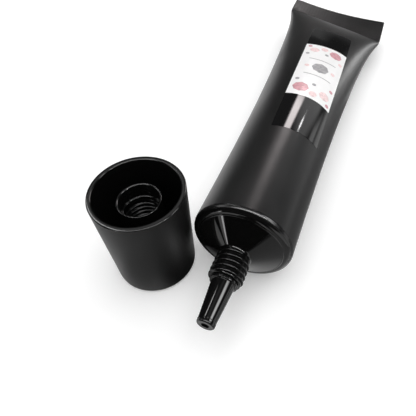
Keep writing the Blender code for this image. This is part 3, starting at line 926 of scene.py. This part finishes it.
# %% Glue
GEL_DARK, GEL_LIGHT = (0.9, 0.88, 0.78), (0.96, 0.95, 0.9)
GEL_ROUGHNESS = (0.04, 0.14)
GEL_IOR = 1.46
GEL_TONE_SCALE = 300
GEL_HAZE_SCALE = 1500
BUBBLE_SCALE = 800
BUBBLE_STRENGTH = 0.2
BUBBLE_DEPTH = 0.00005

gel, gel_shader = new_finish("clear_glue_gel")
shade(gel, noise(gel, GEL_TONE_SCALE, detail=3), gel_shader.inputs["Base Color"], GEL_DARK, GEL_LIGHT)
gel_shader.inputs["Transmission Weight"].default_value = 1.0
gel_shader.inputs["IOR"].default_value = GEL_IOR
vary(gel, noise(gel, GEL_HAZE_SCALE, detail=2), gel_shader.inputs["Roughness"], *GEL_ROUGHNESS)
roughen(gel, gel_shader, noise(gel, BUBBLE_SCALE, detail=2), BUBBLE_STRENGTH, BUBBLE_DEPTH)

GLUE_START, GLUE_END = 4.3, 81.0
GLUE_INSET = 0.8
GLUE_ROWS = 32
lines = [sleeve_row(station, GLUE_INSET) for station in np.linspace(GLUE_START, GLUE_END, GLUE_ROWS)]
bm = roll_up(lines + [pinched(lines[-1])])
front = bmesh.ops.contextual_create(bm, geom=[edge for edge in bm.edges if edge.is_boundary])["faces"]
bmesh.ops.poke(bm, faces=front)
bmesh.ops.recalc_face_normals(bm, faces=bm.faces)
print("open edges on the glue:", sum(edge.is_boundary for edge in bm.edges))
hand_over("glue_body", bm, TUBE, [gel], "tube", "glue_fill")

# %% [markdown]
# The camera stands where the photographer stood: above and to the right of the nozzle, looking down across the tube,
# with a slight roll. Its lens is given for a sensor of 36 mm, Blender's own.

# %% Camera
CAMERA_PLACE = Vector((20.527, -80.071, 69.52)) * MM
CAMERA_HEADING = math.radians(27.53)
CAMERA_DIP = math.radians(49.6)
CAMERA_ROLL = math.radians(-6.84)
CAMERA_LENS = 34.34

lens = bpy.data.cameras.new("camera")
lens.lens = CAMERA_LENS
lens.clip_start = MM
camera = bpy.data.objects.new("camera", lens)
bpy.context.scene.collection.objects.link(camera)
aim = Matrix.Rotation(CAMERA_HEADING, 4, "Z") @ Matrix.Rotation(math.pi / 2 - CAMERA_DIP, 4, "X")
camera.matrix_world = Matrix.Translation(CAMERA_PLACE) @ aim @ Matrix.Rotation(CAMERA_ROLL, 4, "Z")
bpy.context.scene.camera = camera
print("camera is", round(1000 * (CAMERA_PLACE - shoulder).length), "mm from the shoulder")

# %% [markdown]
# The table is plain white and keeps the soft shadows. Under lamps at a plain level a white surface still renders a
# little grey, so for the eye and for mirrors the table adds what is missing by a faint glow, which lights nothing
# else.

# %% Table
TABLE_SIDE = 6.0
TABLE_WHITE = 0.88
TABLE_ROUGHNESS = 0.9
TABLE_SHEEN = 0.1
TABLE_GLOW = 0.2
TABLE_DROP = 0.00002
WHITE = (1.0, 1.0, 1.0)


def seen_rays(owner, *kinds):
    """1 for rays of any of these kinds, 0 for the others."""
    path = add_node(owner, "ShaderNodeLightPath")
    total = path.outputs[kinds[0]]
    for kind in kinds[1:]:
        larger = add_node(owner, "ShaderNodeMath")
        larger.operation = "MAXIMUM"
        wire(owner, total, larger.inputs[0])
        wire(owner, path.outputs[kind], larger.inputs[1])
        total = larger.outputs["Value"]
    return total


def flat_sheet(name, width, height, material, place):
    """A rectangle of the studio around the goods."""
    bm = bmesh.new()
    bmesh.ops.create_grid(bm, x_segments=1, y_segments=1, size=0.5)
    bmesh.ops.scale(bm, verts=bm.verts, vec=(width, height, 1.0))
    sheet = add_object(name, bm, [material])
    sheet.matrix_world = place
    return sheet


white_table, table_shader = new_finish("white_table")
table_shader.inputs["Base Color"].default_value = (TABLE_WHITE, TABLE_WHITE, TABLE_WHITE, 1.0)
table_shader.inputs["Roughness"].default_value = TABLE_ROUGHNESS
table_shader.inputs["Specular IOR Level"].default_value = TABLE_SHEEN
table_shader.inputs["Emission Color"].default_value = (*WHITE, 1.0)
glow = add_node(white_table, "ShaderNodeMath", {1: TABLE_GLOW})
glow.operation = "MULTIPLY"
eye_and_mirrors = ("Is Camera Ray", "Is Glossy Ray", "Is Transmission Ray")
wire(white_table, seen_rays(white_table, *eye_and_mirrors), glow.inputs[0])
wire(white_table, glow.outputs["Value"], table_shader.inputs["Emission Strength"])

below = Matrix.Translation((0.0, 0.0, -TABLE_DROP))
table = flat_sheet("table", TABLE_SIDE, TABLE_SIDE, white_table, below)
print("table is", TABLE_SIDE, "m wide")

# %% [markdown]
# Black plastic has hardly any colour of its own: what the eye sees on it is the studio, mirrored. So the room is
# built as a photographer would: white up to the horizon and dark above it, where the lamps hang. Soft light that
# reaches the table has its own even level.

# %% Room
HORIZON_TOP = 0.0
CEILING_START = 0.06
CEILING_TONE = 0.04
ROOM_AMBIENT = 0.62

world = bpy.data.worlds.new("studio")
bpy.context.scene.world = world
world.use_nodes = True
background = world.node_tree.nodes["Background"]
background.inputs["Color"].default_value = (*WHITE, 1.0)
direction = add_node(world, "ShaderNodeTexCoord")
parts = add_node(world, "ShaderNodeSeparateXYZ")
fall = add_node(world, "ShaderNodeMapRange", {"From Min": HORIZON_TOP, "From Max": CEILING_START,
                                              "To Min": 1.0, "To Max": CEILING_TONE})
mirrored = add_node(world, "ShaderNodeMix", {"A": ROOM_AMBIENT})
level = add_node(world, "ShaderNodeMix", {"B": 1.0})
wire(world, direction.outputs["Generated"], parts.inputs["Vector"])
wire(world, parts.outputs["Z"], fall.inputs["Value"])
wire(world, seen_rays(world, "Is Glossy Ray", "Is Transmission Ray"), mirrored.inputs["Factor"])
wire(world, fall.outputs["Result"], mirrored.inputs["B"])
wire(world, mirrored.outputs["Result"], level.inputs["A"])
wire(world, seen_rays(world, "Is Camera Ray"), level.inputs["Factor"])
wire(world, level.outputs["Result"], background.inputs["Strength"])
bpy.context.scene.view_settings.view_transform = "Standard"
print("soft light of the room:", ROOM_AMBIENT)

# %% [markdown]
# One wide lamp overhead gives the table its gentle shadows. It is too wide to make a highlight, so mirrors don't
# show it.

# %% Overhead lamp
LAMP_WIDTH = 1.2
LAMP_PLACE = (0.15, 0.1, 1.1)
LAMP_WATTS = 8.064

light = bpy.data.lights.new("overhead", "AREA")
light.shape = "SQUARE"
light.size = LAMP_WIDTH
light.energy = LAMP_WATTS
overhead = bpy.data.objects.new("overhead", light)
overhead.location = LAMP_PLACE
overhead.visible_glossy = False
bpy.context.scene.collection.objects.link(overhead)
print("overhead lamp:", LAMP_WATTS, "W")

# %% [markdown]
# The highlights come from cards of light a metre away, as in a studio for glossy goods. Each card's place comes from
# a highlight: it hangs in the direction in which the surface mirrors the camera's view. Directions are a compass
# angle, from the tube's tail towards its right, and an elevation. A card is brightest in its middle and fades to its
# edges, which keeps the highlights soft. Only mirrors see the cards, so they don't change the table.

# %% Cards of light
CARD_DISTANCE = 1.0
STUDIO_MIDDLE = Vector((8.0, -20.0, 8.0)) * MM


def toward(compass, elevation):
    """The unit vector of a compass angle and an elevation, in degrees."""
    compass, elevation = math.radians(compass), math.radians(elevation)
    return Vector((math.sin(compass) * math.cos(elevation), math.cos(compass) * math.cos(elevation),
                   math.sin(elevation)))


def card_glow(name, width, height, brightness, soft, tint):
    """An emission that fades to nothing over the outer share of a card."""
    material, plain_shader = new_finish(name)
    material.node_tree.nodes.remove(plain_shader)
    emission = add_node(material, "ShaderNodeEmission", {"Color": (*tint, 1.0), "Strength": brightness})
    clear = add_node(material, "ShaderNodeBsdfTransparent")
    place = add_node(material, "ShaderNodeTexCoord")
    parts = add_node(material, "ShaderNodeSeparateXYZ")
    wire(material, place.outputs["Object"], parts.inputs["Vector"])
    cover = add_node(material, "ShaderNodeMath")
    cover.operation = "MULTIPLY"
    for number, (axis, half) in enumerate((("X", width / 2), ("Y", height / 2))):
        size = add_node(material, "ShaderNodeMath")
        size.operation = "ABSOLUTE"
        wire(material, parts.outputs[axis], size.inputs[0])
        fade = add_node(material, "ShaderNodeMapRange", {"From Min": half * (1 - soft), "From Max": half,
                                                         "To Min": 1.0, "To Max": 0.0})
        fade.interpolation_type = "SMOOTHSTEP"
        wire(material, size.outputs["Value"], fade.inputs["Value"])
        wire(material, fade.outputs["Result"], cover.inputs[number])
    blend = add_node(material, "ShaderNodeMixShader")
    wire(material, cover.outputs["Value"], blend.inputs[0])
    wire(material, clear.outputs["BSDF"], blend.inputs[1])
    wire(material, emission.outputs["Emission"], blend.inputs[2])
    surface = material.node_tree.nodes["Material Output"].inputs["Surface"]
    wire(material, blend.outputs["Shader"], surface)
    return material


def card(name, place, facing, width, height, brightness, soft=0.4, tint=WHITE):
    """A rectangle at a place, facing back along a direction, that only mirrors see; soft is the share that fades."""
    glow = card_glow(name, width, height, brightness, soft, tint)
    turn = facing.to_track_quat("Z", "Y").to_matrix().to_4x4()
    obj = flat_sheet(name, width, height, glow, Matrix.Translation(place) @ turn)
    obj.visible_camera = False
    obj.visible_diffuse = False
    obj.visible_shadow = False
    return obj


def hang(name, compass, elevation, width, height, brightness, **more):
    """A card a metre away, in the direction of a highlight."""
    away = toward(compass, elevation)
    return card(name, STUDIO_MIDDLE + away * CARD_DISTANCE, away, width, height, brightness, **more)


# Each line gives compass and elevation in degrees, width and height in metres, and brightness
far_cards = [
    hang("back_window", 3.2, 38.5, 0.22, 0.46, 12.0, soft=0.5, tint=(1.0, 0.93, 0.93)),
    hang("back_wall", 20.0, 22.0, 0.6, 0.5, 1.1, soft=0.5),
    hang("key_box", 70.0, 41.0, 0.34, 0.62, 11.0, soft=0.7),
    hang("rim_lamp", 98.0, 38.0, 0.16, 0.34, 16.0, soft=0.4),
    hang("far_lamp", 138.0, 51.0, 0.07, 0.07, 30.0, soft=0.5),
    hang("left_strip", -60.0, 53.0, 0.04, 0.45, 18.0),
    hang("left_box", -100.0, 36.0, 0.5, 0.5, 3.0, soft=0.5),
    hang("overhead_arch", 165.0, 72.0, 1.5, 0.3, 14.0, soft=0.3),
    hang("spark_lamp", 99.0, 50.0, 0.06, 0.06, 240.0, soft=0.5),
    hang("zenith_box", 20.0, 70.0, 0.5, 0.4, 0.35, soft=0.3),
    hang("low_box", 40.0, 8.5, 0.26, 0.2, 1.3, soft=0.6),
    hang("small_lamp", 21.5, 28.6, 0.05, 0.05, 24.0, soft=0.6),
    hang("ceiling", -44.0, 52.0, 0.5, 0.4, 0.8, soft=0.4),
]
print("cards a metre away:", len(far_cards))

# %% [markdown]
# Cards near the goods trim what the dark faces mirror of the white table. Black ones stand in front of the cone and
# behind the tail, and one lies in the gap beside the cap. Grey ones stand behind the tail and lie to the right of
# the tube and in front of the cap. Small bright ones draw a line on the cone, on the tail and on the cap.

# %% Trimming cards
DOWN = Vector((0.0, 0.0, -1.0))
BACK = Vector((0.0, 1.0, 0.0))


def trim(name, place, *rest, **more):
    """A card at a place in millimetres."""
    return card(name, Vector(place) * MM, *rest, **more)


# Each line gives place and facing, width and height in metres, and brightness
near_cards = [
    trim("dark_front", (-16.0, -80.0, 10.0), -BACK, 0.092, 0.02, 0.0, soft=0.14),
    trim("cone_line", (-20.3, -79.0, 7.0), toward(-147.0, -9.0), 0.003, 0.014, 8.0, soft=0.7),
    trim("cone_band", (-23.7, -79.0, 7.0), toward(-143.0, -9.0), 0.003, 0.014, 1.2, soft=0.2),
    trim("tail_grey", (15.0, 125.0, 20.0), BACK, 0.16, 0.04, 0.2, soft=0.1),
    trim("tail_dark", (26.0, 122.0, 46.0), BACK, 0.06, 0.07, 0.02, soft=0.6),
    trim("tail_line", (71.0, 121.0, 11.0), BACK, 0.034, 0.026, 7.0, soft=0.6),
    trim("flank_grey", (44.0, -9.0, 0.3), DOWN, 0.054, 0.068, 0.3, soft=0.1),
    trim("label_grey", (42.0, 40.0, 0.3), DOWN, 0.05, 0.042, 0.3, soft=0.5),
    trim("cone_grey", (22.0, -66.0, 0.3), DOWN, 0.03, 0.05, 0.5, soft=0.3),
    trim("cap_grey", (-6.0, -57.0, 0.3), DOWN, 0.03, 0.012, 0.4, soft=0.4),
    trim("gap_dark", (-1.5, -46.5, 0.35), DOWN, 0.013, 0.02, 0.02, soft=0.6),
    trim("cap_line", (6.0, -47.0, 0.4), DOWN, 0.007, 0.005, 2.5, soft=0.6),
]
print("cards near the goods:", len(near_cards))
